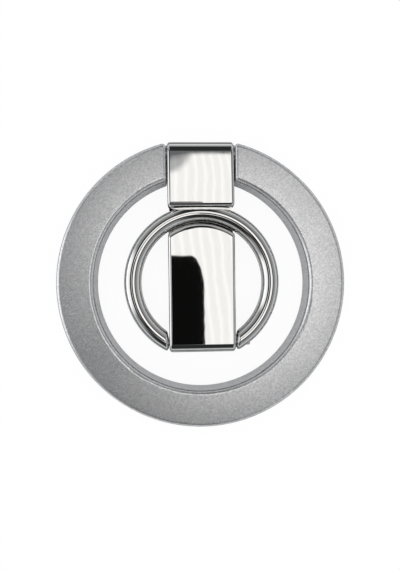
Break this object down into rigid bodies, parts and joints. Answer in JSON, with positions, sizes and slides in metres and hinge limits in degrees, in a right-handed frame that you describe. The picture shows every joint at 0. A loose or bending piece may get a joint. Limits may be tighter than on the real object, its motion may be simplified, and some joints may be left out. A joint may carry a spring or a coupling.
{
  "type": "phone ring holder",
  "caption": "Magnetic phone ring holder: a flat C-shaped base ring with a hinged arm in its gap and a hinged finger ring folded into a groove of the arm.",
  "frame": {"origin": "centre of the base ring on the back face that lies on the phone", "axes": "+Z away from the phone, +Y from the ring's centre to the arm's hinge, +X to the right"},
  "size_m": [0.056, 0.0557, 0.005],
  "materials": {
    "satin_silver": "satin",
    "polished_chrome": "polished",
    "pin_steel": "satin",
    "spring_steel": "satin",
    "yoke_steel": "satin",
    "magnet_nickel": "gloss",
    "pad_silicone": "matte"
  },
  "bodies": {
    "base": {"base_ring": "satin_silver", "back_pad": "pad_silicone", "yoke_ring": "yoke_steel", "magnet_01": "magnet_nickel", "magnet_02": "magnet_nickel", "magnet_03": "magnet_nickel", "magnet_04": "magnet_nickel", "magnet_05": "magnet_nickel", "magnet_06": "magnet_nickel", "magnet_07": "magnet_nickel", "magnet_08": "magnet_nickel", "magnet_09": "magnet_nickel", "magnet_10": "magnet_nickel", "magnet_11": "magnet_nickel", "magnet_12": "magnet_nickel", "magnet_13": "magnet_nickel", "magnet_14": "magnet_nickel", "magnet_15": "magnet_nickel", "magnet_16": "magnet_nickel", "hinge_pin": "pin_steel", "hinge_washer_left": "spring_steel", "hinge_washer_right": "spring_steel"},
    "swing_arm": {"arm": "polished_chrome", "hinge_sleeve": "spring_steel", "ring_sleeve": "spring_steel"},
    "loop": {"finger_ring": "polished_chrome", "ring_pin": "pin_steel", "ring_washer_left": "spring_steel", "ring_washer_right": "spring_steel"}
  },
  "joints": [
    {"name": "arm_hinge", "type": "hinge", "parent": "base", "child": "swing_arm", "pos_m": [0, 0.02542, 0.0027], "axis": [-1, 0, 0], "range_deg": [0, 180]},
    {"name": "ring_hinge", "type": "hinge", "parent": "swing_arm", "child": "loop", "pos_m": [0, -0.01157, 0.00332], "axis": [1, 0, 0], "range_deg": [0, 145]}
  ]
}
